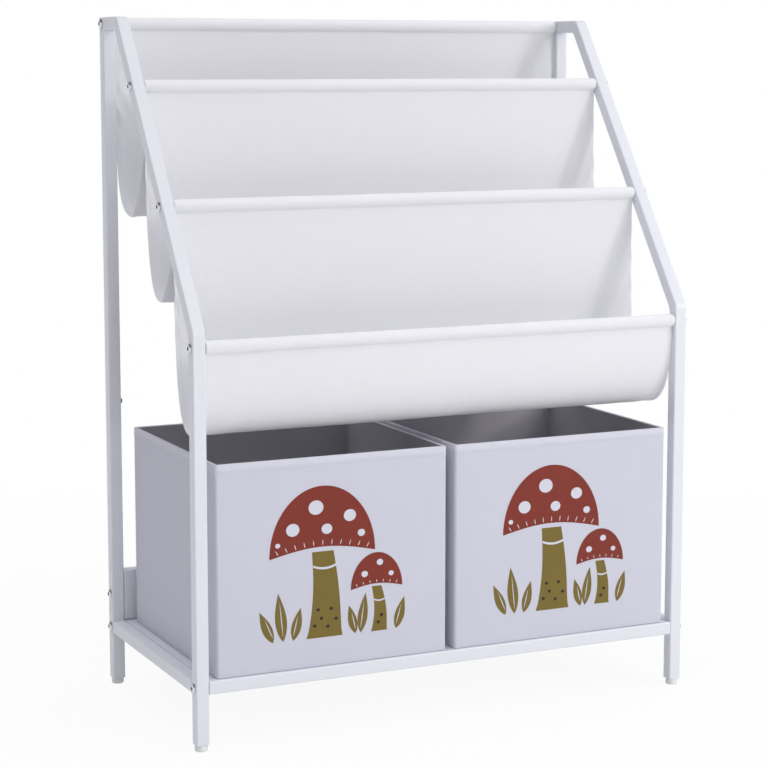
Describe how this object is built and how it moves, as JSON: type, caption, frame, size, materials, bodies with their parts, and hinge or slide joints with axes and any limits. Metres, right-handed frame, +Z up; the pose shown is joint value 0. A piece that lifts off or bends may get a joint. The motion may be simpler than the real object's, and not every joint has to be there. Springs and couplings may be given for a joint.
{
  "type": "sling bookshelf",
  "caption": "Free-standing child's bookshelf: a sloping white tube frame holds hanging cloth slings for face-out books, over a low shelf with pull-out fabric bins.",
  "frame": {"origin": "on the floor, under the centre of the frame", "axes": "+Z up; -Y is the front, where the low sling and the bins are; +X to the right of someone who faces the front"},
  "size_m": [0.6282, 0.305, 0.8001],
  "materials": {
    "painted_steel": "white powder coat, satin, faint orange peel",
    "chrome_plate": "bright plated button-head screws",
    "dark_steel": "dark oxide screw head",
    "clear_plastic": "off-white moulded glide",
    "painted_board": "white painted fibreboard, satin",
    "sling_cloth": "white plain-weave polyester cloth",
    "bin_cloth": "pale grey non-woven cloth, with a printed front",
    "bin_lining": "dark grey non-woven lining",
    "grey_board": "pressed grey board stiffener"
  },
  "bodies": {
    "frame": {"rear_leg_left": "painted_steel", "top_tube_left": "painted_steel", "slope_tube_left": "painted_steel", "front_leg_left": "painted_steel", "side_rail_left": "painted_steel", "screw_rod_1_left": "chrome_plate", "screw_rod_2_left": "chrome_plate", "screw_rod_3_left": "chrome_plate", "screw_rod_4_left": "chrome_plate", "screw_front_rail_left": "chrome_plate", "screw_rear_rail_left": "chrome_plate", "screw_stop_board_left": "chrome_plate", "anchor_screw_left": "dark_steel", "foot_front_left": "clear_plastic", "foot_rear_left": "clear_plastic", "rear_leg_right": "painted_steel", "top_tube_right": "painted_steel", "slope_tube_right": "painted_steel", "front_leg_right": "painted_steel", "side_rail_right": "painted_steel", "screw_rod_1_right": "chrome_plate", "screw_rod_2_right": "chrome_plate", "screw_rod_3_right": "chrome_plate", "screw_rod_4_right": "chrome_plate", "screw_front_rail_right": "chrome_plate", "screw_rear_rail_right": "chrome_plate", "screw_stop_board_right": "chrome_plate", "anchor_screw_right": "dark_steel", "foot_front_right": "clear_plastic", "foot_rear_right": "clear_plastic", "rod_1": "painted_steel", "rod_2": "painted_steel", "rod_3": "painted_steel", "rod_4": "painted_steel", "front_rail": "painted_steel", "rear_rail": "painted_steel", "stop_board": "painted_board", "deck_board": "painted_board", "sling_top": "sling_cloth", "sling_middle": "sling_cloth", "sling_low": "sling_cloth"},
    "bin_left": {"bin_left_cover": "bin_cloth", "bin_left_lining": "bin_lining", "bin_left_front_board": "grey_board", "bin_left_back_board": "grey_board", "bin_left_left_board": "grey_board", "bin_left_right_board": "grey_board", "bin_left_base_board": "grey_board"},
    "bin_right": {"bin_right_cover": "bin_cloth", "bin_right_lining": "bin_lining", "bin_right_front_board": "grey_board", "bin_right_back_board": "grey_board", "bin_right_left_board": "grey_board", "bin_right_right_board": "grey_board", "bin_right_base_board": "grey_board"}
  },
  "joints": [
    {"name": "bin_left_slide", "type": "slide", "parent": "frame", "child": "bin_left", "axis": [0, -1, 0], "range_m": [0, 0.3]},
    {"name": "bin_right_slide", "type": "slide", "parent": "frame", "child": "bin_right", "axis": [0, -1, 0], "range_m": [0, 0.3]}
  ]
}
